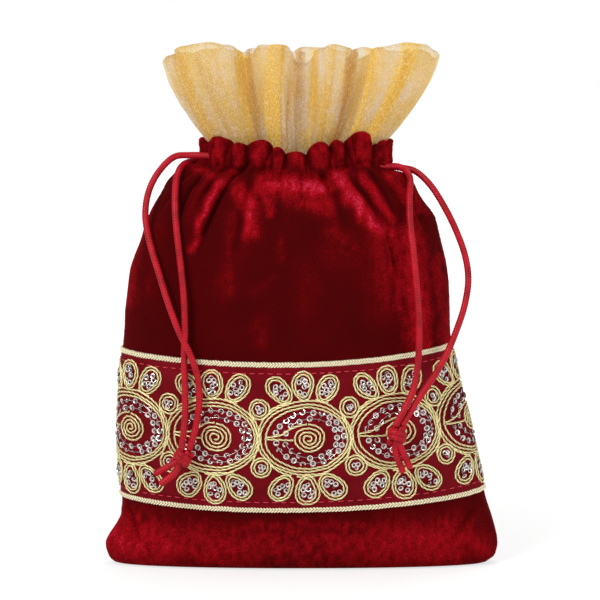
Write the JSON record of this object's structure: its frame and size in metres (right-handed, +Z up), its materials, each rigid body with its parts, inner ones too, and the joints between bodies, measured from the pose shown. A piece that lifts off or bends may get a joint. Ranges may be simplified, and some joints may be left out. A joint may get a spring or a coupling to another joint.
{
  "type": "drawstring pouch",
  "caption": "Flat velvet drawstring pouch with a gathered sheer frill, an embroidered border band and two knotted cords.",
  "frame": {"origin": "middle of the flat foot, on the surface that the pouch stands on", "axes": "+Z up from the foot to the frill; the front faces -Y; +X to the right as seen from the front"},
  "size_m": [0.1816, 0.0742, 0.2392],
  "materials": {
    "velvet": "crushed pile velvet",
    "organza": "sheer woven organza with a soft sheen",
    "border_cloth": "dull satin weave",
    "braid": "metallic crochet braid",
    "gold_thread": "couched metallic thread with small silver sequins",
    "cord": "satin covered round cord"
  },
  "bodies": {
    "root": {"velvet_bag": "velvet", "sheer_frill": "organza", "embroidered_border": "border_cloth", "upper_braid": "braid", "lower_braid": "braid", "gold_motif_1": "gold_thread", "gold_motif_2": "gold_thread", "gold_motif_3": "gold_thread", "gold_motif_4": "gold_thread", "gold_motif_5": "gold_thread", "gold_motif_6": "gold_thread", "gold_motif_7": "gold_thread", "gold_motif_8": "gold_thread", "gold_motif_9": "gold_thread", "left_drawstring": "cord", "right_drawstring": "cord", "left_knot": "cord", "right_knot": "cord"}
  },
  "joints": []
}
